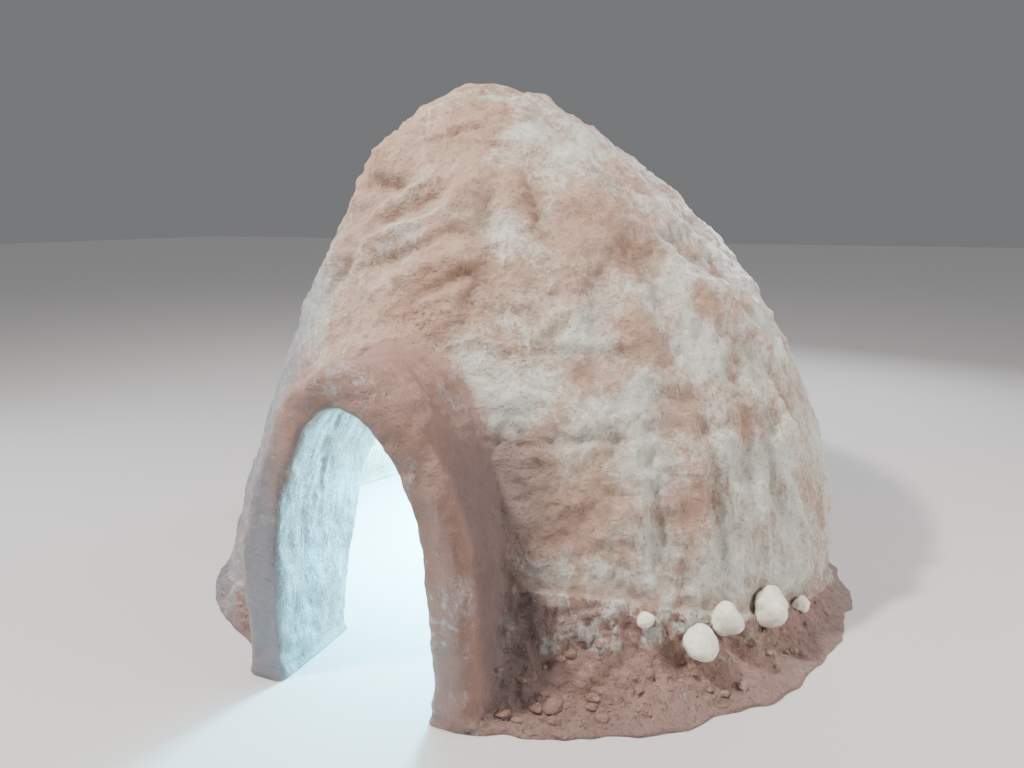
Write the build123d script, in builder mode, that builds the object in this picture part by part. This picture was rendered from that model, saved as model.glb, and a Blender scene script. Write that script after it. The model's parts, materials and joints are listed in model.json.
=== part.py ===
# Snow-block igloo with a short arched porch.
# Millimetres. +Z is up and the porch faces -Y. The origin is on the ground at the middle of the
# igloo's own box, so the dome's upright axis stands a little behind it and to its left.
import os
from math import asin, atan2, cos, degrees, exp, hypot, pi, radians, sin, sqrt

from build123d import *

# Dome: outer foot radius, outer height, the two powers that shape its profile, and the sections
# and outline points that its surface passes through
dome_radius = 1436
dome_height = 2186
rise_power = 1.65
round_power = 1.61
dome_sections = 15
dome_outline_points = 36
dome_outline_start = 185
dome_top_angle = 84

# The dome bulges towards shift_direction half way up and leans away from it at the crown
belly_shift = 126
crown_shift = 189
shift_power = 1.38
shift_direction = 23

# Swellings and dents that hands pressed into the outer face. Each is a bearing round from the
# doorway, a level, half its width, half its height and how far it stands out.
swells = (
    (-50, 1850, 210, 120, 40),
    (-42, 1670, 220, 70, -26),
    (13, 1650, 115, 150, 38),
    (30, 1640, 80, 150, -18),
    (47, 1600, 120, 140, 38),
    (2, 1430, 190, 90, 22),
    (-14, 1190, 200, 90, 28),
    (66, 1310, 140, 110, 26),
    (70, 1640, 100, 90, 26),
    (72, 820, 150, 160, 20),
    (42, 1190, 180, 140, 16),
    (118, 1250, 190, 150, 28),
    (150, 1650, 150, 130, 30),
    (190, 880, 220, 170, 24),
    (205, 1500, 170, 120, -22),
    (240, 1280, 190, 140, 28),
    (275, 800, 200, 170, 20),
)

# Wall thickness, thinner where the blocks lean in
wall_foot = 250
wall_crown = 155

# Courses of blocks with tight joints, closed by a king block
course_count = 10
block_length = 620
fewest_blocks = 3
king_angle = 77
joint = 0.6

# Porch: a thick arch that stands out from the wall and also lines the doorway through it
opening_width = 570
opening_height = 1000
jamb_height = 260
jamb_thickness = 172
arch_thickness = 145
porch_reach = 1550
porch_front_depth = 215
rim_outer_round = 65
rim_inner_round = 32
haunch_angle = 30
shoulder_angle = 62

# Snow banked against the wall: a high, long bank on the right and a low, short one on the left
right_corner_height = 385
right_corner_width = 165
right_belly_width = 95
right_end_width = 70
right_end_angle = 97
left_corner_height = 190
left_corner_width = 80
left_belly_width = 15
left_end_width = 45
left_end_angle = 50
bank_end_height = 30
bank_fall_power = 1.15
bank_hollow = 0.16
bank_toe = 12
bank_ledge = 25
bank_steps = 2
bank_width_checks = 24
seat_gap = 0.3

# Round lumps of snow lying on the right-hand bank: angle round from the doorway, distance out
# from the foot of the wall, height of the middle, and radius
chunk_angles = (38, 45.5, 50.5, 60, 70)
chunk_reaches = (12, 58, 20, 12, 0)
chunk_heights = (281, 195, 233, 200, 122)
chunk_radii = (30, 58, 54, 77, 43)

# Worked out from the sizes above
bank_start_angle = degrees(asin((opening_width + jamb_thickness) / 2 / dome_radius))
inner_foot_radius = dome_radius - wall_foot
inner_height = dome_height - wall_crown
arch_half_width = opening_width / 2 + jamb_thickness
arch_height = opening_height + arch_thickness
porch_back = dome_radius / 2
beyond = 2 * dome_radius


def bank_width(turn, corner_width, belly_width, end_width):
    """Width of a bank at a share of its way from the porch to its end."""
    return end_width + (corner_width - end_width) * (1 - turn) + belly_width * sin(pi * turn)


def bank_angle(turn, end_angle):
    """Bearing from the doorway at a share of a bank's way."""
    return radians(bank_start_angle + (end_angle - bank_start_angle) * turn)


def right_bank_reach(turn):
    """How far to the right of the dome's axis the right bank's toe lies."""
    width = bank_width(turn, right_corner_width, right_belly_width, right_end_width)
    return (dome_radius + width) * sin(bank_angle(turn, right_end_angle))


bank_reach = max(right_bank_reach(number / bank_width_checks) for number in range(bank_width_checks + 1))
dome_centre_x = (dome_radius - bank_reach) / 2
dome_centre_y = (porch_reach - dome_radius) / 2

os.makedirs("parts", exist_ok=True)


def save(piece, name):
    piece.label = name
    export_step(piece, f"parts/{name}.step")


# The dome's form


def profile_radius(level, foot_radius, height):
    """Radius of a dome's profile at a level above the ground."""
    return foot_radius * (1 - (level / height) ** rise_power) ** (1 / round_power)


def profile_tilt(level):
    """Shrinking of the outer radius for each millimetre of height: the slope of a bed there."""
    rise = level / dome_height
    growth = rise_power * rise ** (rise_power - 1) / round_power
    return dome_radius / dome_height * growth * (1 - rise**rise_power) ** (1 / round_power - 1)


def dome_centre(level):
    """Middle of the dome's round section at a level, which wanders sideways as the dome rises."""
    rise = level / dome_height
    shift = belly_shift * sin(pi * rise) - crown_shift * rise**shift_power
    direction = radians(shift_direction)
    return Vector(dome_centre_x + shift * cos(direction), dome_centre_y + shift * sin(direction))


def swelling(level, bearing, radius):
    """How far the hand-pressed outer face stands out from the plain dome at a place."""
    total = 0
    for swell_bearing, swell_level, half_width, half_height, rise in swells:
        turn = (bearing - swell_bearing + 180) % 360 - 180
        sideways = radians(turn) * radius / half_width
        upwards = (level - swell_level) / half_height
        total += rise * exp(-(sideways**2) - upwards**2)
    return total


def dome_levels(height):
    """Levels of a dome's sections, closer together towards the crown."""
    angles = [dome_top_angle * step / (dome_sections - 1) for step in range(dome_sections)]
    return [height * sin(radians(angle)) for angle in angles]


def inner_dome_solid():
    """The smooth, round hollow of the room."""
    with BuildPart() as dome:
        for level in dome_levels(inner_height):
            with BuildSketch(Plane.XY.offset(level)):
                with Locations(dome_centre(level)):
                    Circle(profile_radius(level, inner_foot_radius, inner_height))
        loft()
    return dome.part


def outer_dome_solid(grown=0):
    """The whole outside of the dome as a solid, with its swellings, grown evenly by an amount."""
    even_steps = [number / dome_outline_points for number in range(dome_outline_points + 1)]
    with BuildPart() as dome:
        for level in dome_levels(dome_height):
            radius = profile_radius(level, dome_radius, dome_height)
            middle = dome_centre(level)
            places = []
            for number in range(dome_outline_points):
                bearing = dome_outline_start + 360 * number / dome_outline_points
                reach = radius + swelling(level, bearing, radius) + grown
                outward = Vector(sin(radians(bearing)), -cos(radians(bearing)))
                places.append(middle + outward * reach)
            with BuildSketch(Plane.XY.offset(level)):
                with BuildLine():
                    add(Edge.make_spline(places, periodic=True, parameters=even_steps))
                make_face()
        loft()
    return dome.part


def above_bed(level, lift=0):
    """Everything above the cone-shaped bed that meets the dome's outer face at a level."""
    middle = dome_centre(level)
    radius = profile_radius(level, dome_radius, dome_height)
    tilt = profile_tilt(level)
    raised = level + lift * hypot(1, tilt)
    apex = raised - radius * tilt
    rim = raised + (beyond - radius) * tilt
    top = rim + dome_height
    with BuildPart() as above:
        with BuildSketch(Plane(middle, x_dir=(1, 0, 0), z_dir=(0, -1, 0))):
            with BuildLine():
                Polyline((0, apex), (beyond, rim), (beyond, top), (0, top), close=True)
            make_face()
        revolve(axis=Axis(middle, (0, 0, 1)))
    return above.part


# The porch's arch


def doorway_plane(reach):
    """Upright plane across the doorway at a distance from the dome's axis, seen from outside."""
    return Plane((dome_centre_x, dome_centre_y - reach, 0), x_dir=(1, 0, 0), z_dir=(0, -1, 0))


def arch_face(half_width, height, mode=Mode.ADD):
    """Upright jambs under half an ellipse."""
    with BuildLine() as outline:
        Line((-half_width, 0), (half_width, 0))
        Line((half_width, 0), (half_width, jamb_height))
        EllipticalCenterArc((0, jamb_height), half_width, height - jamb_height, arc_size=180)
        Line((-half_width, jamb_height), (-half_width, 0))
    make_face(outline.edges(), mode=mode)


def sideways_reach(edge):
    """Furthest distance of an edge from the middle of the doorway."""
    box = edge.bounding_box()
    return max(dome_centre_x - box.min.X, box.max.X - dome_centre_x)


def front_edges(body):
    """Edges of the front face, without those on the ground."""
    front = body.faces().sort_by(Axis.Y)[0]
    return front.edges().filter_by(lambda edge: edge.center().Z > joint)


def porch_body(grown=0):
    """The whole porch arch with its rounded rim, running back into the room."""
    rim_middle = (opening_width + jamb_thickness) / 2
    with BuildPart() as body:
        with BuildSketch(doorway_plane(porch_reach + grown)):
            arch_face(arch_half_width + grown, arch_height + grown)
            arch_face(opening_width / 2, opening_height, mode=Mode.SUBTRACT)
        extrude(amount=porch_back - porch_reach - grown)
        fillet(front_edges(body).filter_by(lambda edge: sideways_reach(edge) > rim_middle), rim_outer_round)
        fillet(front_edges(body).filter_by(lambda edge: sideways_reach(edge) < rim_middle), rim_inner_round)
    return body.part


def doorway_block():
    """The solid block of the porch's outer outline, which the wall's courses stop against."""
    with BuildPart() as block:
        with BuildSketch(doorway_plane(beyond)):
            arch_face(arch_half_width + seat_gap, arch_height + seat_gap)
        extrude(amount=porch_back - beyond)
    return block.part


def arch_joint(angle):
    """Place of a joint between two arch blocks: across the arch, from inner to outer outline."""
    across = cos(radians(angle))
    along = sin(radians(angle))
    inner = Vector(opening_width / 2 * across, jamb_height + (opening_height - jamb_height) * along)
    outer = Vector(arch_half_width * across, jamb_height + (arch_height - jamb_height) * along)
    span = outer - inner
    middle = (inner + outer) / 2
    return Location((middle.X, middle.Y, 0), (0, 0, degrees(atan2(span.Y, span.X))))


# The wall: shell cut into courses, and each course into blocks

inner_dome = inner_dome_solid()
with BuildPart() as shell:
    add(outer_dome_solid())
    add(inner_dome, mode=Mode.SUBTRACT)
    add(doorway_block(), mode=Mode.SUBTRACT)


def bed_level(course):
    """Level at which the bed under a course meets the dome's outer face."""
    return dome_height * sin(radians(king_angle * course / course_count))


def doorway_half_angle(level):
    """Half the angle that the porch takes out of the wall at a level."""
    rise = max(level - jamb_height, 0) / (arch_height - jamb_height)
    if rise >= 1:
        return 0
    half_width = arch_half_width * sqrt(1 - rise**2)
    return degrees(asin(half_width / profile_radius(level, dome_radius, dome_height)))


def joint_angles(course):
    """Upright joints of a course, as angles round from the doorway, staggered from course to course."""
    edge = doorway_half_angle(bed_level(course))
    middle_radius = profile_radius(bed_level(course + 0.5), dome_radius, dome_height)
    turn = 360 - 2 * edge
    blocks = max(fewest_blocks, round(radians(turn) * middle_radius / block_length))
    pitch = turn / blocks
    first = edge + pitch / 2 * (1 + course % 2)
    angles = [first + pitch * number for number in range(blocks)]
    if edge > 0:
        angles = [angle for angle in angles if angle < 360 - edge - pitch / 4] + [0]
    return angles


for course in range(course_count):
    low = bed_level(course)
    high = bed_level(course + 1)
    middle = dome_centre((low + high) / 2)
    with BuildPart() as blocks:
        add(shell.part)
        if course > 0:
            add(above_bed(low, lift=joint), mode=Mode.INTERSECT)
        add(above_bed(high), mode=Mode.SUBTRACT)
        with Locations([Location(middle, (0, 0, angle - 90)) for angle in joint_angles(course)]):
            Box(beyond, joint, 2 * beyond, align=(Align.MIN, Align.CENTER, Align.CENTER), mode=Mode.SUBTRACT)
    save(blocks.part, f"course_{course + 1:02d}")

with BuildPart() as king_block:
    add(shell.part)
    add(above_bed(bed_level(course_count), lift=joint), mode=Mode.INTERSECT)
save(king_block.part, "king_block")

# The porch: seven arch blocks in a front ring and seven behind it, through the wall

with BuildPart() as porch:
    add(porch_body())
    add(inner_dome, mode=Mode.SUBTRACT)
    with BuildSketch(doorway_plane(beyond)):
        for angle in (0, haunch_angle, shoulder_angle):
            with Locations(arch_joint(angle), arch_joint(180 - angle)):
                Rectangle(jamb_thickness + arch_thickness, joint)
    extrude(amount=-beyond, mode=Mode.SUBTRACT)
    with BuildSketch(doorway_plane(porch_reach - porch_front_depth)):
        Rectangle(beyond, beyond)
    extrude(amount=-joint, mode=Mode.SUBTRACT)

porch_joint_y = dome_centre_y - porch_reach + porch_front_depth
rings = porch.solids().group_by(lambda block: block.center().Y > porch_joint_y)
for ring_name, ring in zip(("front", "rear"), rings):
    rising = ring.sort_by(Axis.Z)
    for index, height_name in enumerate(("jamb", "haunch", "shoulder")):
        pair = rising[2 * index : 2 * index + 2].sort_by(Axis.X)
        for side_name, block in zip(("left", "right"), pair):
            with BuildPart() as arch_block:
                add(block)
            save(arch_block.part, f"porch_{ring_name}_{height_name}_{side_name}")
    with BuildPart() as key_block:
        add(rising[-1])
    save(key_block.part, f"porch_{ring_name}_key")

# The snow banks: lofts between upright sections that point away from the dome's axis

wall_seat = outer_dome_solid(grown=seat_gap)
porch_seat = porch_body(grown=seat_gap)


def bank_section(turn, side, corner_height, width, end_angle):
    """Section of a bank at a share of its way round, with a hollow slope and a blunt toe."""
    angle = bank_angle(turn, end_angle)
    outward = Vector(side * sin(angle), -cos(angle))
    across = Vector(-cos(angle), -side * sin(angle))
    fall = ((1 + cos(pi * turn)) / 2) ** bank_fall_power
    height = bank_end_height + (corner_height - bank_end_height) * fall
    ledge = profile_radius(height, dome_radius, dome_height) + bank_ledge
    toe = dome_radius + width
    slope = hypot(toe - ledge, height - bank_toe)
    back = inner_foot_radius
    with BuildSketch(Plane((dome_centre_x, dome_centre_y, 0), x_dir=outward, z_dir=across)) as section:
        with BuildLine():
            Polyline((ledge, height), (back, height), (back, 0), (toe, 0), (toe, bank_toe))
            SagittaArc((toe, bank_toe), (ledge, height), bank_hollow * slope)
        make_face()
    return section.sketch


left_widths = (left_corner_width, left_belly_width, left_end_width)
right_widths = (right_corner_width, right_belly_width, right_end_width)
bank_plans = (
    ("left", -1, left_corner_height, left_widths, left_end_angle),
    ("right", 1, right_corner_height, right_widths, right_end_angle),
)
bank_parts = ("front", "middle", "side")
banks = []
for side_name, side, corner_height, widths, end_angle in bank_plans:
    for index, part_name in enumerate(bank_parts):
        with BuildPart() as bank:
            for step in range(bank_steps + 1):
                turn = (index + step / bank_steps) / len(bank_parts)
                add(bank_section(turn, side, corner_height, bank_width(turn, *widths), end_angle))
            loft()
            add(wall_seat, mode=Mode.SUBTRACT)
            add(porch_seat, mode=Mode.SUBTRACT)
        save(bank.part, f"bank_{side_name}_{part_name}")
        banks.append(bank.part)

# Loose lumps of snow, each flattened where it lies against the bank, the wall or the ground

with BuildPart() as foot_chunks:
    for angle, reach, height, radius in zip(chunk_angles, chunk_reaches, chunk_heights, chunk_radii):
        outward = Vector(sin(radians(angle)), -cos(radians(angle))) * (dome_radius + reach)
        with Locations((dome_centre_x + outward.X, dome_centre_y + outward.Y, height)):
            Sphere(radius)
    for seat in [wall_seat, *banks]:
        add(seat, mode=Mode.SUBTRACT)
    Box(2 * beyond, 2 * beyond, beyond, align=(Align.CENTER, Align.CENTER, Align.MAX), mode=Mode.SUBTRACT)
save(foot_chunks.part, "foot_chunks")
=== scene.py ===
# %% [markdown]
# A small igloo of snow blocks, smoothed over by hand, with a short arched porch and snow banked
# against its foot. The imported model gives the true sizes: every block, every arch stone and every
# bank stands in its place, in metres, and this lesson only dresses them.

# %% Load the frame
import json
from math import cos, pi, radians, sin

import bmesh
import bpy
import numpy as np
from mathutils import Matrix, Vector, noise
from mathutils.bvhtree import BVHTree

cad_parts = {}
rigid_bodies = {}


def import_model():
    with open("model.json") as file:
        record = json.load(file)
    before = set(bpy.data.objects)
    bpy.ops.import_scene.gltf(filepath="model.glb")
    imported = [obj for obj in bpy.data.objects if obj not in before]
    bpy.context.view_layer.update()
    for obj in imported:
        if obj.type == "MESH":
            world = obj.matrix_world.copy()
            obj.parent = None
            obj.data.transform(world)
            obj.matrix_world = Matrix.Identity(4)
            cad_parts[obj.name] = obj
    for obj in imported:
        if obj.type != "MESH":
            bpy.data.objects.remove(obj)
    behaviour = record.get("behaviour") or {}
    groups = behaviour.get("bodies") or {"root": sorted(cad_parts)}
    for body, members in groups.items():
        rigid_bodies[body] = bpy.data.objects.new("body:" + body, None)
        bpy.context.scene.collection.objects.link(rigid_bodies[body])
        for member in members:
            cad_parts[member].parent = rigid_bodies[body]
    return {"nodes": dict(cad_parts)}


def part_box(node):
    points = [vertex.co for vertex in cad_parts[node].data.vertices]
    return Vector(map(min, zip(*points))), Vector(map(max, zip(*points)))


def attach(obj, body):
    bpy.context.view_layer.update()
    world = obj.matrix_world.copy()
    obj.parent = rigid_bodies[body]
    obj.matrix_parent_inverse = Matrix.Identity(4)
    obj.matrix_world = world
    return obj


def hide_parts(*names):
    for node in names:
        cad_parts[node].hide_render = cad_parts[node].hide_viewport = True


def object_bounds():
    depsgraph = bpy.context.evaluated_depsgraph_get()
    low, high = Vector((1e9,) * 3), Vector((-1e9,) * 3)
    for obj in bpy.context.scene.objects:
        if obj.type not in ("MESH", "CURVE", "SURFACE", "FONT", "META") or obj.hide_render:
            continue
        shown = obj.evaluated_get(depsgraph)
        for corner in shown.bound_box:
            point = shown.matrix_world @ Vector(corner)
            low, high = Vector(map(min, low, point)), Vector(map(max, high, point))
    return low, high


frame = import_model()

cad_low, cad_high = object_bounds()
courses = sorted(name for name in frame["nodes"] if name.startswith("course_"))
porch_nodes = sorted(name for name in frame["nodes"] if name.startswith("porch_"))
bank_nodes = sorted(name for name in frame["nodes"] if name.startswith("bank_"))
wall_nodes = courses + ["king_block"]
print("frame:", len(frame["nodes"]), "nodes, box from", [round(v, 3) for v in cad_low])
print("to", [round(v, 3) for v in cad_high])

# %% [markdown]
# The camera comes first, because some marks on the snow are placed by looking through it. The
# photograph was taken at the eye height of an adult, 1.6 m, tipped down by 12.5 degrees, and 23
# degrees round from the front of the porch. The lens and the distance follow from the dome's size.

# %% Camera
eye_height = 1.6
tip_down = 12.5
turn_round = 23.0
lens_mm = 27.07
eye_back = 3.71
eye_aside = -0.065
image_width, image_height = 1024, 768
sensor_width = 36
at_ground = 0.001

foot_ring = [v.co for v in frame["nodes"][courses[0]].data.vertices if v.co.z < at_ground]
ring_left, ring_right = min(p.x for p in foot_ring), max(p.x for p in foot_ring)
foot_radius = (ring_right - ring_left) / 2
axis = Vector(((ring_left + ring_right) / 2, max(p.y for p in foot_ring) - foot_radius, 0))


def place_camera():
    """Puts the camera where the photograph was taken from."""
    turn = radians(turn_round)
    forward = Vector((-sin(turn), cos(turn), 0))
    aside = Vector((cos(turn), sin(turn), 0))
    data = bpy.data.cameras.new("photo_view")
    data.lens = lens_mm
    data.sensor_width = sensor_width
    camera = bpy.data.objects.new("photo_view", data)
    camera.location = axis + aside * eye_aside - forward * eye_back + Vector((0, 0, eye_height))
    camera.rotation_euler = (radians(90 - tip_down), 0, turn)
    bpy.context.scene.collection.objects.link(camera)
    bpy.context.scene.camera = camera
    bpy.context.view_layer.update()
    return camera


camera = place_camera()
print("camera at", [round(v, 3) for v in camera.location])


def sight_line(u, v):
    """Start and direction of the line of sight through a pixel of the photograph."""
    scale = sensor_width / lens_mm / image_width
    local = Vector(((u - image_width / 2) * scale, (image_height / 2 - v) * scale, -1))
    return camera.location.copy(), (camera.matrix_world.to_3x3() @ local).normalized()


# %% [markdown]
# Real snow blocks freeze into one shell, so the dressing starts as one body. Copies of all the
# solids are joined and remeshed by voxels: hair-fine joints close, and wall, porch and banks run
# into each other as wet snow does. A boolean union would keep knife-sharp creases instead. The
# copies are drawn down below the ground first, because voxels would round off a bank's thin foot.

# %% One body of snow
voxel = 0.0115
foot_drop = 0.05
merge_reach = 0.00002


def joined_copy(nodes, name, drop=0.0):
    """One object with copies of these nodes' meshes, their feet lowered by a drop."""
    joined = bmesh.new()
    for node in nodes:
        joined.from_mesh(frame["nodes"][node].data)
    bmesh.ops.remove_doubles(joined, verts=joined.verts, dist=merge_reach)
    for vertex in joined.verts:
        if vertex.co.z < at_ground:
            vertex.co.z -= drop
    mesh = bpy.data.meshes.new(name)
    joined.to_mesh(mesh)
    joined.free()
    body = bpy.data.objects.new(name, mesh)
    bpy.context.scene.collection.objects.link(body)
    return body


def apply_modifiers(body):
    """Replaces the mesh by what its modifiers make of it."""
    depsgraph = bpy.context.evaluated_depsgraph_get()
    made = bpy.data.meshes.new_from_object(body.evaluated_get(depsgraph))
    body.modifiers.clear()
    old = body.data
    body.data = made
    bpy.data.meshes.remove(old)


def freeze(body, size):
    """Remeshes a body by voxels of a size, which closes its joints."""
    remesh = body.modifiers.new("freeze", "REMESH")
    remesh.mode = "VOXEL"
    remesh.voxel_size = size
    apply_modifiers(body)


snow = joined_copy(wall_nodes + porch_nodes + bank_nodes, "snow_body", foot_drop)
freeze(snow, voxel)
print("snow body:", len(snow.data.vertices), "vertices")

# %% [markdown]
# The voxels leave the corner between porch and dome too crisp. Snow pressed in by hand rounds it,
# so vertices that lie close to both are smoothed many times, and the rest stay as they are.

# %% Round the valleys
def points_of(body):
    """Vertex places as an array."""
    places = np.empty(len(body.data.vertices) * 3)
    body.data.vertices.foreach_get("co", places)
    return places.reshape(-1, 3)


def normals_of(body):
    """Vertex normals as an array."""
    normals = np.empty(len(body.data.vertices) * 3)
    body.data.vertex_normals.foreach_get("vector", normals)
    return normals.reshape(-1, 3)


def tree_of(nodes):
    """Search tree over the solids of these nodes, with the node that each face belongs to."""
    places, faces, owners = [], [], []
    for index, node in enumerate(nodes):
        mesh = frame["nodes"][node].data
        start = len(places)
        places.extend(v.co.copy() for v in mesh.vertices)
        faces.extend(tuple(start + i for i in p.vertices) for p in mesh.polygons)
        owners.extend([index] * len(mesh.polygons))
    return BVHTree.FromPolygons(places, faces), owners


def distances(places, nodes):
    """Distance from each place to the nearest solid of these nodes."""
    tree, _ = tree_of(nodes)
    return np.array([tree.find_nearest(Vector(p))[3] for p in places])


def smooth_step(low, high, value):
    """Rises softly from 0 at the first limit to 1 at the second, whichever is larger."""
    share = np.clip((value - low) / (high - low), 0, 1)
    return share * share * (3 - 2 * share)


def smooth(body, weights, rounds):
    """Smooths a body where the weights say, by a vertex group that is removed again."""
    group = body.vertex_groups.new(name="soft")
    for level in range(1, 11):
        chosen = np.nonzero(np.round(weights * 10) == level)[0]
        group.add([int(i) for i in chosen], level / 10, "REPLACE")
    modifier = body.modifiers.new("soft", "SMOOTH")
    modifier.factor = 0.7
    modifier.iterations = rounds
    modifier.vertex_group = group.name
    apply_modifiers(body)
    body.vertex_groups.clear()


valley_width = 0.11
bank_valley_width = 0.05
places = points_of(snow)
to_wall = distances(places, wall_nodes)
to_porch = distances(places, porch_nodes)
to_bank = distances(places, bank_nodes)
hood_valley = 1 - smooth_step(0.02, valley_width, np.maximum(to_wall, to_porch))
bank_valley = 1 - smooth_step(0.01, bank_valley_width, np.maximum(np.minimum(to_wall, to_porch), to_bank))
rounds = 45
smooth(snow, np.maximum(hood_valley, 0.6 * bank_valley), rounds)
print("valleys:", int((hood_valley > 0.5).sum()), "vertices by the hood and")
print(int((bank_valley > 0.5).sum()), "by the banks")

# %% [markdown]
# Hand-packed snow is lumpy at every size. The relief is worked out as one height for each vertex:
# courses and blocks that show faintly as swellings, broad dents from patting, small knobs, and a
# few folds and lumps of this igloo in particular. It is taken inwards on average, so the dressed
# snow keeps to the size of the solids.

# %% Courses and blocks
def noise_field(places, size, octaves=3, seed=0.0):
    """Cloudy noise from about -1 to 1, with lumps of a size in metres."""
    shift = Vector((seed * 7.13, seed * 3.71, seed * 5.37))
    scaled = places / size
    return np.array([noise.fractal(Vector(p) + shift, 0.9, 2.1, octaves) for p in scaled])


def block_middles(node):
    """Bearings of the middles of a course's blocks, seen from the dome's axis."""
    course = bmesh.new()
    course.from_mesh(frame["nodes"][node].data)
    bmesh.ops.remove_doubles(course, verts=course.verts, dist=merge_reach)
    seen, bearings = set(), []
    for first in course.verts:
        if first in seen:
            continue
        queue, block = [first], []
        seen.add(first)
        while queue:
            vertex = queue.pop()
            block.append(vertex.co.copy())
            for edge in vertex.link_edges:
                other = edge.other_vert(vertex)
                if other not in seen:
                    seen.add(other)
                    queue.append(other)
        middle = sum(block, Vector()) / len(block) - axis
        bearings.append(np.arctan2(middle.y, middle.x))
    course.free()
    return np.array(bearings)


bed_levels = [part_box(node)[1][2] for node in courses]
joint_reach = 0.07


def course_relief(places, normals):
    """Swelling of each block, from 0 at its joints to 1 in its middle."""
    radius = np.hypot(places[:, 0] - axis.x, places[:, 1] - axis.y)
    bearing = np.arctan2(places[:, 1] - axis.y, places[:, 0] - axis.x)
    upright = np.maximum(np.hypot(normals[:, 0], normals[:, 1]), 0.25)
    to_joint = np.full(len(places), 1.0)
    course = np.searchsorted(bed_levels, places[:, 2])
    for level in bed_levels:
        to_joint = np.minimum(to_joint, np.abs(places[:, 2] - level) / upright)
    for index, node in enumerate(courses):
        here = np.nonzero(course == index)[0]
        turns = bearing[here, None] - block_middles(node)[None, :]
        apart = np.sort(np.abs((turns + pi) % (2 * pi) - pi), axis=1)
        if apart.shape[1] > 1:
            to_joint[here] = np.minimum(to_joint[here], (apart[:, 1] - apart[:, 0]) / 2 * radius[here])
    return smooth_step(0.0, joint_reach, to_joint)


places, normals = points_of(snow), normals_of(snow)
blocks = course_relief(places, normals)
print("blocks:", sum(len(block_middles(node)) for node in courses), "in", len(courses), "courses")

# %% [markdown]
# Some marks are this igloo's own: the draped folds under the crown, the hump at its upper left, the
# ledge over the porch. Each is placed by a line of sight through the photograph, down to the snow
# that it meets, and is a soft oval swelling or dent there.

# %% Folds and lumps of this igloo
# Each mark: where it shows in the photograph, its half length and half width in metres, the lean
# of its length from upright in degrees, and its height in metres (a dent is less than zero).
marks = (
    ((390, 148), 0.16, 0.06, 10, 0.026),
    ((381, 180), 0.16, 0.035, 85, -0.030),
    ((455, 128), 0.14, 0.020, 65, -0.012),
    ((440, 112), 0.16, 0.050, 80, 0.014),
    ((484, 140), 0.12, 0.022, 100, -0.010),
    ((464, 192), 0.20, 0.075, 14, 0.030),
    ((487, 208), 0.20, 0.042, 10, -0.015),
    ((516, 200), 0.15, 0.060, 6, 0.022),
    ((540, 212), 0.16, 0.040, 2, -0.010),
    ((566, 205), 0.20, 0.070, -12, 0.012),
    ((604, 205), 0.16, 0.075, -30, 0.024),
    ((625, 240), 0.18, 0.030, -28, -0.018),
    ((590, 163), 0.14, 0.040, -60, 0.012),
    ((410, 190), 0.20, 0.030, 62, 0.018),
    ((400, 208), 0.22, 0.024, 64, -0.016),
    ((398, 228), 0.24, 0.034, 66, 0.022),
    ((400, 248), 0.24, 0.026, 68, -0.018),
    ((420, 268), 0.22, 0.045, 66, 0.020),
    ((424, 292), 0.20, 0.028, 62, -0.014),
    ((395, 305), 0.20, 0.045, 58, 0.018),
    ((350, 240), 0.18, 0.045, 45, 0.018),
    ((335, 275), 0.16, 0.032, 35, -0.014),
    ((640, 330), 0.20, 0.090, 0, 0.014),
    ((600, 300), 0.20, 0.050, 10, -0.012),
    ((668, 212), 0.14, 0.045, -45, 0.020),
    ((688, 250), 0.14, 0.032, -42, -0.016),
    ((700, 288), 0.14, 0.055, -32, 0.020),
    ((720, 296), 0.12, 0.026, -35, -0.018),
    ((736, 312), 0.14, 0.045, -28, 0.020),
    ((765, 345), 0.12, 0.045, -20, 0.018),
    ((782, 385), 0.14, 0.032, -12, -0.016),
    ((520, 300), 0.20, 0.060, 0, 0.012),
    ((470, 300), 0.18, 0.040, 20, -0.012),
    ((690, 400), 0.12, 0.08, 0, 0.012),
    ((600, 420), 0.22, 0.10, 90, 0.012),
    ((590, 441), 0.24, 0.016, 88, -0.0035),
    ((500, 436), 0.11, 0.012, 14, -0.004),
    ((524, 430), 0.07, 0.010, 8, -0.0035),
    ((750, 450), 0.20, 0.04, 5, -0.012),
    ((720, 500), 0.22, 0.045, 2, -0.011),
    ((700, 480), 0.20, 0.04, 0, 0.014),
    ((780, 480), 0.20, 0.03, -4, -0.016),
    ((765, 500), 0.18, 0.03, -2, 0.014),
    ((800, 510), 0.18, 0.03, -6, 0.014),
    ((660, 520), 0.22, 0.04, 0, -0.014),
    ((640, 500), 0.20, 0.05, 0, 0.012),
    ((735, 430), 0.12, 0.06, 0, 0.012),
    ((790, 420), 0.12, 0.06, 0, 0.014),
    ((365, 350), 0.16, 0.06, 80, 0.020),
    ((340, 365), 0.12, 0.07, 60, 0.016),
    ((420, 400), 0.12, 0.05, 20, 0.014),
    ((448, 500), 0.14, 0.05, 0, 0.012),
    ((458, 620), 0.12, 0.06, 0, 0.010),
    ((290, 430), 0.16, 0.05, 0, 0.012),
    ((252, 560), 0.14, 0.05, 0, 0.012),
)


mark_strength = 1.8
least_depth = 0.08


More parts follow.
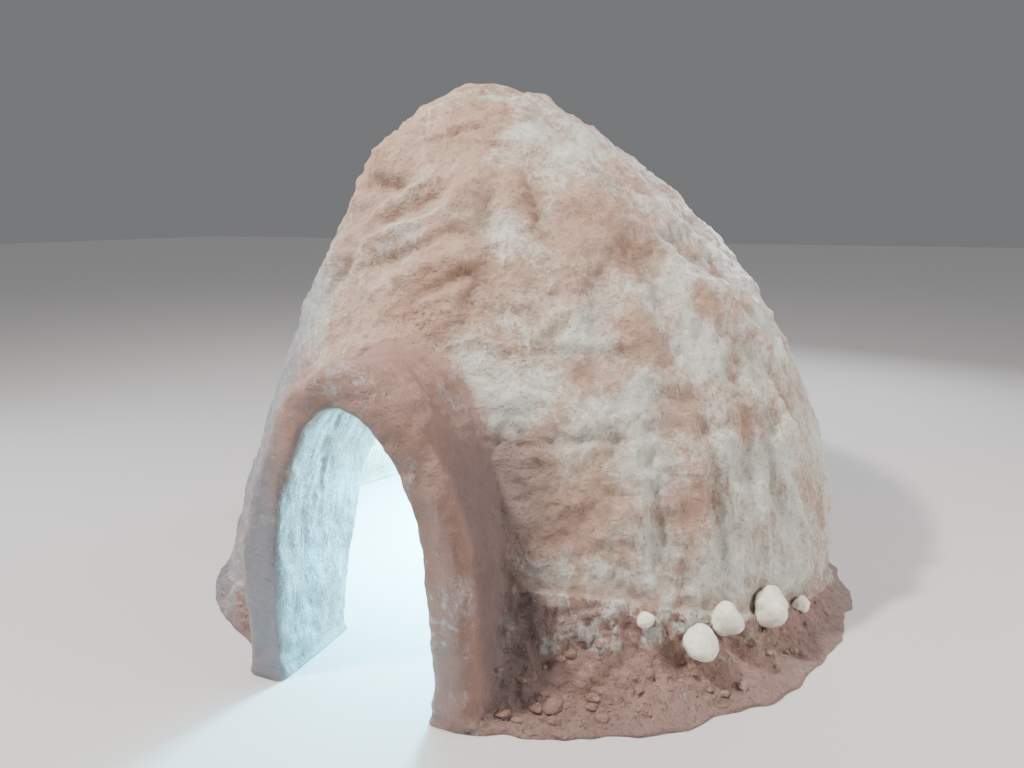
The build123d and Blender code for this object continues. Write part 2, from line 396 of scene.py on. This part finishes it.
def mark_relief(places, tree):
    """Height of all the marks at each place."""
    height = np.zeros(len(places))
    for (u, v), half_length, half_width, lean, rise in marks:
        start, direction = sight_line(u, v)
        hit, normal, _, _ = tree.ray_cast(start, direction)
        if hit is None:
            print("mark at", u, v, "misses the snow")
            continue
        upward = (Vector((0, 0, 1)) - normal * normal.z).normalized()
        sideways = upward.cross(normal)
        along = upward * cos(radians(lean)) + sideways * sin(radians(lean))
        across = along.cross(normal)
        offset = places - np.array(hit)
        lengthwise = offset @ np.array(along) / half_length
        crosswise = offset @ np.array(across) / half_width
        inwards = offset @ np.array(normal) / max(half_width, least_depth)
        height += mark_strength * rise * np.exp(-(lengthwise**2) - crosswise**2 - inwards**2)
    return height


snow_faces = [tuple(p.vertices) for p in snow.data.polygons]
snow_tree = BVHTree.FromPolygons([Vector(p) for p in places], snow_faces)
own_marks = mark_relief(places, snow_tree)
print(len(marks), "marks from", round(float(own_marks.min()), 3), "to", round(float(own_marks.max()), 3), "m")

# %% [markdown]
# The relief differs from place to place. Upright grooves run down the lower right side, where hands
# scraped it, and level drapes lie round the crown. The room's face is smoother, because warm air
# glazes it. Each region is a soft mask over the vertices, from 0 to 1, so that no border shows.

# %% Regions of the snow
room_inset = 0.12
room_smoothness = 0.45
room_middle = np.array(axis + Vector((0, 0, 0.6)))

to_bank = distances(places, bank_nodes)
to_porch = distances(places, porch_nodes)
to_wall = distances(places, wall_nodes)
from_axis = np.hypot(places[:, 0] - axis.x, places[:, 1] - axis.y)
facing_in = ((places - room_middle) * normals).sum(axis=1) < 0
outside = np.where((from_axis < foot_radius - room_inset) & facing_in, room_smoothness, 1.0)
on_wall = smooth_step(0.0, 0.05, np.minimum(to_porch, to_bank))
on_bank = 1 - smooth_step(0.004, 0.03, to_bank)

# Bearings are in degrees round from the doorway, to the right as seen from the front
bearing = np.degrees(np.arctan2(places[:, 0] - axis.x, axis.y - places[:, 1]))
right_side = smooth_step(15, 45, bearing) * (1 - smooth_step(140, 170, bearing))
lower_part = 1 - smooth_step(0.75, 1.35, places[:, 2])
upper_part = smooth_step(0.9, 1.4, places[:, 2])

# The tunnel is measured as half an ellipse on upright sides
arch_half, arch_spring, arch_top = 0.34, 0.26, 0.80
arch_rise = np.maximum(places[:, 2] - arch_spring, 0) / arch_top
in_arch = ((places[:, 0] - axis.x) / arch_half) ** 2 + arch_rise**2 < 1
in_tunnel = in_arch & (places[:, 1] < axis.y - 1.0) & (places[:, 1] > cad_low[1] + 0.05)
print("in the tunnel:", int(in_tunnel.sum()), "vertices, on the banks:", int((on_bank > 0.5).sum()))

# %% [markdown]
# One height for each vertex is the sum of clouds of noise of several sizes: broad dents, patting,
# knobs, grooves and drapes. Where a bank meets the wall, a broken crust stands up. The hollows are
# kept for the colours, where they are painted darker as shade, so that the folds show.

# %% Heights
broad_rise, patted_rise, knob_rise, block_rise = 0.012, 0.019, 0.009, 0.008
groove_rise, drape_rise, rubble_rise, trodden_rise = 0.009, 0.007, 0.016, 0.009
sunk_in = 0.012
rim_calm = 0.6
crust_width = 0.030

broad = noise_field(places, 0.42, 2, 1)
patted = noise_field(places, 0.16, 3, 2)
knobs = noise_field(places, 0.055, 3, 3)
uneven_courses = 0.6 + 0.4 * noise_field(places, 0.5, 1, 4)
grooves = noise_field(places * np.array([1, 1, 0.28]), 0.075, 3, 6)
drapes = noise_field(places * np.array([0.4, 0.4, 1]), 0.06, 3, 7)
calm = np.where(to_porch < 0.01, rim_calm, 1.0)
height = broad_rise * broad + (patted_rise * patted + knob_rise * knobs) * calm
height += block_rise * (blocks - 1) * on_wall * uneven_courses
height += groove_rise * grooves * right_side * (0.35 + 0.65 * lower_part)
height += drape_rise * drapes * upper_part * (1 - 0.5 * right_side)
height = height * outside + own_marks - sunk_in

rubble = noise_field(places, 0.12, 4, 8)
trodden = noise_field(places, 0.045, 4, 13)
bank_height = rubble_rise * rubble + trodden_rise * trodden + 0.004 * patted - 0.003
height = height * (1 - on_bank) + bank_height * on_bank

broken = smooth_step(-0.25, 0.35, noise_field(places, 0.11, 3, 9))
to_seam = np.maximum(np.minimum(to_wall, to_porch), to_bank)
crust = np.exp(-((to_seam / crust_width) ** 2)) * (outside > 0.9) * broken
height += crust * (0.010 + 0.014 * noise_field(places, 0.04, 3, 11))
fine_height = 0.014 * patted + 0.005 * knobs + 0.008 * drapes + 0.007 * grooves
# Painted shade: the dents between the folds are darkened in colour, as shade falls in them.
shaded_hollows = smooth_step(0.004, 0.024, 0.010 - (own_marks + fine_height))
print("relief from", round(float(height.min()), 3), "to", round(float(height.max()), 3), "m")

# %% [markdown]
# The height moves each vertex along its normal, and not at all at the ground. Thrown snow has no
# clean edge, so the banks are also drawn inwards by a wandering amount, the more the further out
# they reach. At last every vertex is kept inside the box of the solids.

# %% Shape the snow
toe_wander = 0.045
box_margin = 0.001

ground = smooth_step(0.0, 0.03, places[:, 2])
moved = places + normals * (height * ground)[:, None]
inward = np.array(axis) - places
inward[:, 2] = 0
inward /= np.maximum(np.linalg.norm(inward, axis=1), 1e-9)[:, None]
flat_places = places * np.array([1, 1, 0])
wander = smooth_step(-0.9, 0.9, noise_field(flat_places, 0.24, 3, 14))
wander *= smooth_step(0.0, 0.14, np.minimum(to_wall, to_porch))
moved += inward * (toe_wander * wander)[:, None]
low, high = np.array(cad_low) + box_margin, np.array(cad_high) - box_margin
moved = np.clip(moved, low, high)
snow.data.vertices.foreach_set("co", moved.ravel())
snow.data.update()
print("standing on the ground:", int((moved[:, 2] <= low[2]).sum()), "vertices")

# %% [markdown]
# The dome is a patchwork of pale ice and warm snow. The noise of a finish can't know where a patch
# lies on this igloo, so its main ones are placed by lines of sight, as the folds are, and stored on
# the vertices as soft round covers.

# %% Spots of ice and rubbed snow
# Each spot: where it shows in the photograph, its radius in metres and its strength.
icy_spots = (
    ((528, 130), 0.07, 1.0), ((570, 150), 0.09, 1.0), ((500, 92), 0.06, 0.9), ((590, 152), 0.06, 0.8),
    ((472, 388), 0.15, 1.0), ((510, 405), 0.13, 1.0), ((440, 370), 0.07, 0.9), ((500, 420), 0.10, 0.7),
    ((500, 225), 0.07, 0.9), ((520, 250), 0.09, 0.5), ((520, 325), 0.10, 0.6), ((585, 335), 0.10, 0.7),
    ((650, 315), 0.07, 0.6), ((640, 470), 0.13, 0.8), ((570, 441), 0.14, 0.6), ((550, 575), 0.11, 0.9),
    ((600, 585), 0.12, 0.8), ((640, 400), 0.10, 0.6), ((700, 345), 0.10, 0.9), ((720, 360), 0.10, 0.7),
    ((780, 470), 0.14, 0.8), ((800, 520), 0.13, 0.8), ((760, 380), 0.12, 0.6), ((745, 470), 0.09, 0.6),
    ((730, 260), 0.10, 0.7), ((770, 330), 0.10, 0.7), ((680, 280), 0.08, 0.7), ((660, 235), 0.07, 0.5),
    ((300, 330), 0.15, 0.6), ((280, 380), 0.14, 0.6), ((410, 230), 0.08, 0.4), ((545, 380), 0.12, 0.7),
    ((725, 560), 0.10, 0.6), ((655, 540), 0.10, 0.5), ((800, 590), 0.08, 0.8), ((420, 175), 0.07, 0.4),
)


# Where hands rubbed the ice away, the warm snow shows: a spot's strength takes ice off there.
bare_spots = (
    ((465, 190), 0.10, 1.0), ((518, 197), 0.07, 1.0), ((602, 215), 0.12, 1.0), ((350, 240), 0.13, 0.9),
    ((390, 150), 0.12, 0.9), ((430, 300), 0.15, 0.9), ((640, 335), 0.10, 1.0), ((690, 400), 0.09, 0.7),
    ((705, 300), 0.08, 0.8), ((600, 490), 0.13, 0.6), ((560, 520), 0.12, 0.7), ((700, 505), 0.10, 0.5),
    ((520, 480), 0.12, 0.8), ((628, 250), 0.08, 0.8), ((440, 245), 0.10, 0.9), ((470, 110), 0.12, 0.8),
    ((585, 370), 0.08, 0.5), ((750, 420), 0.08, 0.6), ((735, 300), 0.07, 0.7), ((620, 555), 0.08, 0.5),
)


def spots_paint(places, tree, spots):
    """How strongly the spots of one list cover each place, from 0 to 1."""
    cover = np.zeros(len(places))
    for (u, v), radius, strength in spots:
        start, direction = sight_line(u, v)
        hit = tree.ray_cast(start, direction)[0]
        if hit is not None:
            away = ((places - np.array(hit)) ** 2).sum(axis=1) / radius**2
            cover = np.maximum(cover, strength * np.exp(-away))
    return cover


icy_cover = spots_paint(places, snow_tree, icy_spots)
rubbed = spots_paint(places, snow_tree, bare_spots) * on_wall
print("spots:", len(icy_spots), "icy and", len(bare_spots), "rubbed")

# %% [markdown]
# Seven tones are painted as values from 0 to 1, for the finishes to read. Ice is pale: the spots,
# the crust by the banks, the porch's rim and the tunnel. The pale ice on the rim is a painted highlight,
# the extra ice down the right side is painted light that makes that side paler, and the tunnel's ice
# is partly painted glow. Rubbed lumps, the snow round the porch and the snow blown up from the banks
# are browner. The hollows, the left flank, the corner beside the porch and the foot of the wall are
# painted shade: darker, and cool on the left flank. Only the ice may fall below 0, which keeps the
# wisps of a finish away from a rubbed lump.

# %% Paint the tones
front_reach = axis.y - places[:, 1]
rim_front = smooth_step(-0.06, 0.02, front_reach - (axis.y - cad_low[1] - 0.06))
# Painted highlight: pale ice along the porch's front rim, as light caught on the rim.
ice_and_painted_light = icy_cover * (0.3 + 0.7 * on_wall) + 0.4 * rim_front * (to_porch < 0.02)
# Painted light: the extra ice on the right side of the wall makes that side paler, as if lit.
ice_and_painted_light = np.maximum(ice_and_painted_light, 1.3 * crust) + 0.4 * right_side * on_wall
ice_and_painted_light += 0.35 * smooth_step(85, 130, np.abs(bearing)) * on_wall - rubbed

# Painted shade: the porch's right flank and the dome beside it are darkened, as the porch's shadow falls
# there.
flank_shade = (1 - smooth_step(0.03, 0.30, to_porch)) * smooth_step(2, 12, bearing)
flank_shade *= 1 - smooth_step(0.75, 1.1, places[:, 2])
# Painted shade: the foot of the wall is darkened, where shade gathers by the ground.
foot_shade = 0.5 * (1 - smooth_step(0.0, 0.10, places[:, 2])) * outside

# Painted shade: the left flank and the porch's left jamb are darker and cool, as that side lies in shade.
left_shade = smooth_step(-20, -45, bearing) * (1 - smooth_step(-80, -140, bearing))
left_jamb = smooth_step(0.20, 0.34, axis.x - places[:, 0]) * (to_porch < 0.02)
left_shade = np.maximum(left_shade, left_jamb) * (1 - smooth_step(1.1, 1.7, places[:, 2]))

blown = 0.07 + 0.07 * noise_field(places, 0.13, 3, 12)
drifted = (1 - smooth_step(0.3 * blown, blown + 0.001, to_bank)) * (1 - on_bank) * (to_porch > 0.02)
hood_reach = 0.055 + 0.04 * noise_field(places, 0.12, 3, 15)
hooded = (1 - smooth_step(0.0, hood_reach, to_porch)) * (to_porch > 0.002) * outside

paints = {
    # The tunnel is fully iced; its pale ice is partly painted light, the room's glow on it.
    "ice_and_light": np.clip(ice_and_painted_light + in_tunnel, -1, 1),
    "rubbed": rubbed,
    "hooded": np.clip(hooded, 0, 1),
    "damp": np.clip(np.maximum(flank_shade * (1 - rim_front), foot_shade), 0, 1),
    "hollow_shade": np.clip(shaded_hollows * outside * (1 - on_bank), 0, 1),
    "drifted": np.clip(drifted, 0, 1),
    "left_flank_shade": np.clip(left_shade * outside, 0, 1),
}
print("painted:", {name: int((values > 0.5).sum()) for name, values in paints.items()}, "vertices")

# %% [markdown]
# Dressed, the snow goes back to its own pieces: each face joins the solid that it lies nearest to,
# so every course, arch stone and bank keeps its name. All pieces take their shading normals from
# the one body, and the cuts between them don't show. The underside has no say in those normals, or
# the thin foot of a bank would be shaded as if it faced down.

# %% Hand the faces to the pieces
dressed_nodes = wall_nodes + porch_nodes + bank_nodes
all_tree, owners = tree_of(dressed_nodes)


def shading_normals(body):
    """Vertex normals made from the faces that don't lie on the ground, larger faces counting more."""
    mesh = body.data
    sides, corners = np.empty(len(mesh.polygons), int), np.empty(len(mesh.loops), int)
    facing, middles = np.empty(len(mesh.polygons) * 3), np.empty(len(mesh.polygons) * 3)
    areas = np.empty(len(mesh.polygons))
    mesh.polygons.foreach_get("loop_total", sides)
    mesh.loops.foreach_get("vertex_index", corners)
    mesh.polygons.foreach_get("normal", facing)
    mesh.polygons.foreach_get("center", middles)
    mesh.polygons.foreach_get("area", areas)
    facing, middles = facing.reshape(-1, 3), middles.reshape(-1, 3)
    on_ground = (facing[:, 2] < -0.7) & (middles[:, 2] < 0.012)
    share = facing * (areas * np.where(on_ground, 0.0001, 1))[:, None]
    totals = np.zeros((len(mesh.vertices), 3))
    np.add.at(totals, corners, np.repeat(share, sides, axis=0))
    return totals / np.maximum(np.linalg.norm(totals, axis=1), 1e-12)[:, None]


places, normals = points_of(snow), shading_normals(snow)


def paint_piece(piece, values):
    """Stores painted values on a piece's vertices, by name."""
    for name, numbers in values.items():
        layer = piece.data.attributes.new(name, "FLOAT", "POINT")
        layer.data.foreach_set("value", np.asarray(numbers, dtype=np.float32))


def plain_paints(count, ice_and_light):
    """Even paint, with only a share of ice, for a piece that has no spots of its own."""
    return {name: np.full(count, ice_and_light if name == "ice_and_light" else 0.0) for name in paints}


def piece_from(polygons, name):
    """A new object with some of the body's faces, shaded with the body's own normals."""
    used = sorted({i for p in polygons for i in p.vertices})
    place_of = {old: new for new, old in enumerate(used)}
    mesh = bpy.data.meshes.new(name)
    faces = [[place_of[i] for i in p.vertices] for p in polygons]
    mesh.from_pydata([places[i] for i in used], [], faces)
    mesh.shade_smooth()
    mesh.normals_split_custom_set_from_vertices([normals[i] for i in used])
    piece = bpy.data.objects.new(name, mesh)
    bpy.context.scene.collection.objects.link(piece)
    paint_piece(piece, {label: values[used] for label, values in paints.items()})
    return piece


shares = {node: [] for node in dressed_nodes}
for polygon in snow.data.polygons:
    shares[dressed_nodes[owners[all_tree.find_nearest(polygon.center)[2]]]].append(polygon)
pieces = {}
for node, polygons in shares.items():
    pieces[node] = piece_from(polygons, node + "_snow")
    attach(pieces[node], "root")
    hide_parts(node)
bpy.data.objects.remove(snow)
print("pieces:", {node: len(polygons) for node, polygons in shares.items()})

# %% [markdown]
# The loose lumps at the foot are knocked-off snow: round, but chipped and uneven. The solids give
# their size and seat, and a finer remesh with knobbly noise gives their skin.

# %% Loose lumps
lump_voxel = 0.004
chunks = joined_copy(["foot_chunks"], "foot_chunks_snow")
freeze(chunks, lump_voxel)
places_now, normals_now = points_of(chunks), normals_of(chunks)
chipped = 0.022 * noise_field(places_now, 0.11, 2, 5)
uneven = chipped + 0.003 * noise_field(places_now, 0.025, 2, 10) - 0.004
lumps = np.clip(places_now + normals_now * uneven[:, None], low, high)
chunks.data.vertices.foreach_set("co", lumps.ravel())
chunks.data.shade_smooth()
paint_piece(chunks, plain_paints(len(lumps), 0.6))
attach(chunks, "root")
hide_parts("foot_chunks")
pieces["foot_chunks"] = chunks
print("loose lumps:", len(chunks.data.vertices), "vertices")

# %% [markdown]
# Snow that fell while the wall was scraped lies as crumbs over the banks. Each crumb is a small
# flattened grain of its own shape, partly sunk in the bank's slope. A hundred objects would be
# hard to keep in order, so all the crumbs are one piece.

# %% Crumbs on the banks
crumb_count = 110
crumb_seed = 7
least_radius = 0.005
radius_range = 0.022
flatness = 0.6
sunk_share = 0.25


def crumb_mesh(crumbs, middle, radius, random):
    """Adds one uneven grain to a mesh under construction."""
    grain = bmesh.ops.create_icosphere(crumbs, subdivisions=2, radius=radius)["verts"]
    squash = Vector(random.uniform(0.7, 1.5, 3) * (1, 1, flatness))
    for vertex in grain:
        bump = 1 + 0.5 * noise.noise(vertex.co / radius * 1.1 + middle * 40)
        vertex.co = Vector(a * b for a, b in zip(vertex.co * bump, squash)) + middle


def scatter_crumbs():
    """One object with crumbs lying on the banks' upper faces."""
    random = np.random.default_rng(crumb_seed)
    slopes = []
    for node in bank_nodes:
        faces = pieces[node].data.polygons
        upper = [p for p in faces if p.normal.z > 0.35 and p.center.z > 0.03]
        slopes += [(p.center.copy(), p.normal.copy()) for p in upper]
    crumbs = bmesh.new()
    for index in random.choice(len(slopes), crumb_count):
        middle, normal = slopes[index]
        radius = least_radius + radius_range * random.random() ** 3
        crumb_mesh(crumbs, middle - normal * radius * sunk_share, radius, random)
    mesh = bpy.data.meshes.new("bank_crumbs")
    crumbs.to_mesh(mesh)
    crumbs.free()
    piece = bpy.data.objects.new("bank_crumbs", mesh)
    bpy.context.scene.collection.objects.link(piece)
    spots = np.clip(points_of(piece), low, high)
    mesh.vertices.foreach_set("co", spots.ravel())
    mesh.shade_smooth()
    paint_piece(piece, plain_paints(len(spots), 0.25))
    return piece


pieces["bank_crumbs"] = scatter_crumbs()
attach(pieces["bank_crumbs"], "root")
print("crumbs:", crumb_count, "with", len(pieces["bank_crumbs"].data.polygons), "faces")

# %% [markdown]
# What makes it read as snow is in three shared groups: grain for the fine bump, glaze for the icy
# wisps where wet hands and frost polished it, and stain for the warm and dull drifts of colour.

# %% Finish groups
def new_group(name, inputs, outputs):
    """An empty shader group with float inputs and typed outputs."""
    group = bpy.data.node_groups.new(name, "ShaderNodeTree")
    for label, value in inputs:
        socket = group.interface.new_socket(label, in_out="INPUT", socket_type="NodeSocketFloat")
        socket.default_value = value
    for label, kind in outputs:
        group.interface.new_socket(label, in_out="OUTPUT", socket_type=kind)
    return group, group.nodes.new("NodeGroupInput"), group.nodes.new("NodeGroupOutput")


def noise_node(tree, scale, detail, rough=0.5, stretch=(1, 1, 1), twist=0.0):
    """Noise texture over the object's own coordinates, stretched by a factor for each axis."""
    mapping = tree.nodes.new("ShaderNodeMapping")
    mapping.inputs["Scale"].default_value = stretch
    tree.links.new(tree.nodes.new("ShaderNodeTexCoord").outputs["Object"], mapping.inputs["Vector"])
    node = tree.nodes.new("ShaderNodeTexNoise")
    values = {"Scale": scale, "Detail": detail, "Roughness": rough, "Distortion": twist}
    for label, value in values.items():
        node.inputs[label].default_value = value
    tree.links.new(mapping.outputs["Vector"], node.inputs["Vector"])
    return node.outputs["Fac"]


def spread(tree, value, low_in, high_in, low_out=0.0, high_out=1.0):
    """Stretches a range of a value smoothly to another."""
    node = tree.nodes.new("ShaderNodeMapRange")
    node.interpolation_type = "SMOOTHSTEP"
    limits = {"From Min": low_in, "From Max": high_in, "To Min": low_out, "To Max": high_out}
    for label, number in limits.items():
        node.inputs[label].default_value = number
    tree.links.new(value, node.inputs["Value"])
    return node.outputs["Result"]


def combine(tree, how, first, second):
    """A math node over two sockets or numbers."""
    node = tree.nodes.new("ShaderNodeMath")
    node.operation = how
    for socket, value in zip(node.inputs, (first, second)):
        if isinstance(value, (int, float)):
            socket.default_value = value
        else:
            tree.links.new(value, socket)
    return node.outputs["Value"]


def weighted(tree, *terms):
    """Sum of sockets, each times its own weight."""
    total = 0.0
    for value, weight in terms:
        total = combine(tree, "ADD", combine(tree, "MULTIPLY", value, weight), total)
    return total


def make_grain():
    """Fine height of packed snow: clots, pits, crystals, and smears left by hands."""
    group, entry, out = new_group("snow_grain", [("Coarseness", 1.0)], [("Height", "NodeSocketFloat")])
    clots = noise_node(group, 26, 5, 0.6)
    pits = spread(group, noise_node(group, 70, 3, 0.6), 0.55, 0.75)
    crystals = noise_node(group, 340, 2, 0.7)
    level_smears = noise_node(group, 9, 4, 0.6, (0.8, 0.8, 3.0), 1.2)
    upright_smears = noise_node(group, 16, 4, 0.6, (1, 1, 0.25), 0.9)
    total = weighted(
        group, (clots, 1.1), (pits, -0.7), (crystals, 0.2), (level_smears, 0.5), (upright_smears, 1.0)
    )
    group.links.new(combine(group, "MULTIPLY", total, entry.outputs["Coarseness"]), out.inputs["Height"])
    return group


def make_glaze():
    """Where the snow has iced over, from 0 to 1: broad patches broken up into wisps and speckle."""
    inputs = [("Spread", 0.5), ("Placed", 0.0)]
    group, entry, out = new_group("ice_glaze", inputs, [("Mask", "NodeSocketFloat")])
    patches = noise_node(group, 2.6, 3, 0.6)
    streaks = noise_node(group, 8, 8, 0.78, (1, 1, 0.5), 1.8)
    wisps = noise_node(group, 17, 6, 0.75, (1, 1, 0.8), 2.4)
    speckle = noise_node(group, 60, 4, 0.8)
    mixed = weighted(
        group, (patches, 0.30), (streaks, 0.32), (wisps, 0.22), (speckle, 0.16),
        (entry.outputs["Placed"], 0.115), (entry.outputs["Spread"], 1.0),
    )
    group.links.new(spread(group, mixed, 0.985, 1.12), out.inputs["Mask"])
    return group


def make_stain():
    """Drift of colour over the snow, from 0, clean, to 1, warm and dull."""
    group, entry, out = new_group("snow_stain", [("Amount", 1.0)], [("Mask", "NodeSocketFloat")])
    drift = spread(group, noise_node(group, 1.7, 3, 0.5), 0.36, 0.64)
    blotches = spread(group, noise_node(group, 6.5, 4, 0.62, (1, 1, 0.7), 0.7), 0.38, 0.66)
    mottle = spread(group, noise_node(group, 28, 4, 0.65), 0.35, 0.68)
    mixed = weighted(group, (drift, 0.45), (blotches, 0.38), (mottle, 0.17))
    group.links.new(combine(group, "MULTIPLY", mixed, entry.outputs["Amount"]), out.inputs["Mask"])
    return group


grain_group, glaze_group, stain_group = make_grain(), make_glaze(), make_stain()
print("groups:", grain_group.name, glaze_group.name, stain_group.name)

# %% [markdown]
# Each finish is one Principled shader. Its constants, such as the snow's inner scatter, sit on the
# shader's own sockets, so an export keeps them; only what changes over the surface is linked.

# %% Finishes
def mix_colours(tree, share, first, second):
    """Colour mix of two colours or sockets by a share."""
    node = tree.nodes.new("ShaderNodeMix")
    node.data_type = "RGBA"
    tree.links.new(share, node.inputs["Factor"])
    for socket, value in ((node.inputs[6], first), (node.inputs[7], second)):
        if isinstance(value, tuple):
            socket.default_value = value
        else:
            tree.links.new(value, socket)
    return node.outputs[2]


def group_in(tree, group, label, value):
    """One of the shared groups inside a material, with one input set."""
    node = tree.nodes.new("ShaderNodeGroup")
    node.node_tree = group
    node.inputs[label].default_value = value
    return node


def painted(tree, name):
    """A value painted on the vertices."""
    node = tree.nodes.new("ShaderNodeAttribute")
    node.attribute_name = name
    return node.outputs["Fac"]


# Each painted tone: its name, its colour and the most of it that is mixed in. The last ones lie on
# top of those before them.
# The hollow tone, the cool tone of the left flank and the dark tone of the corner and the foot are painted
# shade.
tones = (
    ("rubbed", (0.40, 0.25, 0.18), 0.5),
    ("hollow_shade", (0.22, 0.135, 0.095), 0.34),
    ("hooded", (0.30, 0.187, 0.153), 0.75),
    ("drifted", (0.33, 0.22, 0.18), 0.8),
    ("left_flank_shade", (0.195, 0.25, 0.305), 0.6),
    ("damp", (0.125, 0.10, 0.104), 0.68),
)
most_ice = 0.85
constants = {
    "Specular IOR Level": 0.4,
    "Subsurface Weight": 0.3,
    "Subsurface Radius": (0.45, 0.55, 0.7),
    "Subsurface Scale": 0.035,
}
rough_snow, rough_ice = 0.62, 0.34
bump_height = 0.021


def snow_colour(tree, clean, warm, ice, stain, frost):
    """The colour of snow: clean to warm, then ice, then the painted tones."""
    drift = group_in(tree, stain_group, "Amount", stain).outputs["Mask"]
    colour = mix_colours(tree, drift, (*clean, 1), (*warm, 1))
    colour = mix_colours(tree, combine(tree, "MULTIPLY", frost, most_ice), colour, (*ice, 1))
    for name, tone, most in tones:
        share = combine(tree, "MULTIPLY", painted(tree, name), most)
        colour = mix_colours(tree, share, colour, (*tone, 1))
    return colour


def snow_finish(name, clean, warm, ice, stain, glaze, coarse, bump):
    """A packed-snow material from its clean, stained and icy colours."""
    material = bpy.data.materials.new(name)
    material.use_nodes = True
    tree = material.node_tree
    shader = tree.nodes["Principled BSDF"]
    for label, value in constants.items():
        shader.inputs[label].default_value = value
    glazed = group_in(tree, glaze_group, "Spread", glaze)
    tree.links.new(painted(tree, "ice_and_light"), glazed.inputs["Placed"])
    frost = glazed.outputs["Mask"]
    tree.links.new(snow_colour(tree, clean, warm, ice, stain, frost), shader.inputs["Base Color"])
    tree.links.new(spread(tree, frost, 0, 1, rough_snow, rough_ice), shader.inputs["Roughness"])
    relief = tree.nodes.new("ShaderNodeBump")
    relief.inputs["Strength"].default_value = bump
    relief.inputs["Distance"].default_value = bump_height
    grain = group_in(tree, grain_group, "Coarseness", coarse)
    tree.links.new(grain.outputs["Height"], relief.inputs["Height"])
    tree.links.new(relief.outputs["Normal"], shader.inputs["Normal"])
    return material


# %% [markdown]
# The wall's snow is warm and full of ice wisps. The porch was handled most and is browner, with
# bluer ice, which in the tunnel is partly painted light: the cyan glow of the room. The banks are
# trodden and dirty, and the loose lumps are clean ice, nearly white.

# %% Four kinds of snow
wall_snow = snow_finish(
    "wall_snow", clean=(0.47, 0.345, 0.27), warm=(0.37, 0.225, 0.158), ice=(0.64, 0.70, 0.64),
    stain=1.0, glaze=0.505, coarse=1.0, bump=0.7,
)
porch_snow = snow_finish(
    "porch_snow", clean=(0.33, 0.21, 0.175), warm=(0.255, 0.148, 0.12), ice=(0.46, 0.66, 0.71),
    stain=1.0, glaze=0.43, coarse=0.9, bump=0.55,
)
bank_snow = snow_finish(
    "bank_snow", clean=(0.34, 0.222, 0.187), warm=(0.215, 0.128, 0.103), ice=(0.58, 0.60, 0.56),
    stain=0.9, glaze=0.465, coarse=1.2, bump=0.8,
)
lump_ice = snow_finish(
    "lump_ice", clean=(0.84, 0.81, 0.66), warm=(0.70, 0.64, 0.51), ice=(0.90, 0.92, 0.80),
    stain=0.7, glaze=0.50, coarse=0.8, bump=0.5,
)
finishes = {node: ("wall_snow", wall_snow) for node in wall_nodes}
finishes.update({node: ("porch_snow", porch_snow) for node in porch_nodes})
finishes.update({node: ("loose_snow", bank_snow) for node in bank_nodes + ["bank_crumbs"]})
finishes["foot_chunks"] = ("loose_snow", lump_ice)
for node, piece in pieces.items():
    slot, finish = finishes[node]
    piece.data.materials.append(finish)
print("finishes:", wall_snow.name, porch_snow.name, bank_snow.name, lump_ice.name)

# %% [markdown]
# A plain pale floor and soft studio lights show the form. The igloo also glows from within, as if
# a lamp stood in the room: only light is added there, no lamp, because none can be seen.

# %% Floor and lights
def add_floor():
    """A wide pale floor just under the snow."""
    mesh = bpy.data.meshes.new("studio_floor")
    half, drop = 40.0, 0.001
    corners = [(x * half, y * half, -drop) for x, y in ((-1, -1), (1, -1), (1, 1), (-1, 1))]
    mesh.from_pydata(corners, [], [(0, 1, 2, 3)])
    floor = bpy.data.objects.new("studio_floor", mesh)
    bpy.context.scene.collection.objects.link(floor)
    material = bpy.data.materials.new("studio_floor")
    material.use_nodes = True
    shader = material.node_tree.nodes["Principled BSDF"]
    shader.inputs["Base Color"].default_value = (0.56, 0.55, 0.55, 1)
    shader.inputs["Roughness"].default_value = 0.9
    mesh.materials.append(material)


def add_light(kind, name, place, power, colour, size):
    """A soft light that looks at the middle of the igloo."""
    data = bpy.data.lights.new(name, kind)
    data.energy, data.color = power, colour
    if kind == "AREA":
        data.size = size
    elif kind == "SUN":
        data.angle = size
    else:
        data.shadow_soft_size = size
    light = bpy.data.objects.new(name, data)
    light.location = place
    light.rotation_euler = (Vector((0, 0, 0.9)) - Vector(place)).to_track_quat("-Z", "Y").to_euler()
    bpy.context.scene.collection.objects.link(light)


add_floor()
add_light("AREA", "key", (-2.3, -3.5, 6.0), 800, (1.0, 0.93, 0.86), 0.5)
add_light("AREA", "right_fill", (4.8, -0.8, 2.6), 190, (1.0, 0.93, 0.88), 1.6)
add_light("AREA", "left_fill", (-4.8, -1.2, 1.8), 45, (0.36, 0.66, 1.0), 2.0)
add_light("AREA", "back_fill", (1.6, 5.0, 3.4), 170, (0.93, 0.96, 1.0), 2.2)
add_light("SUN", "sky", (0.0, 1.5, 8.0), 0.7, (1.0, 0.98, 0.97), 0.5)
add_light("POINT", "room_glow", (axis.x + 0.05, 0.15, 1.0), 1300, (0.24, 0.76, 1.0), 0.25)
world = bpy.data.worlds.new("studio")
world.use_nodes = True
world.node_tree.nodes["Background"].inputs["Color"].default_value = (0.78, 0.79, 0.82, 1)
world.node_tree.nodes["Background"].inputs["Strength"].default_value = 0.24
bpy.context.scene.world = world
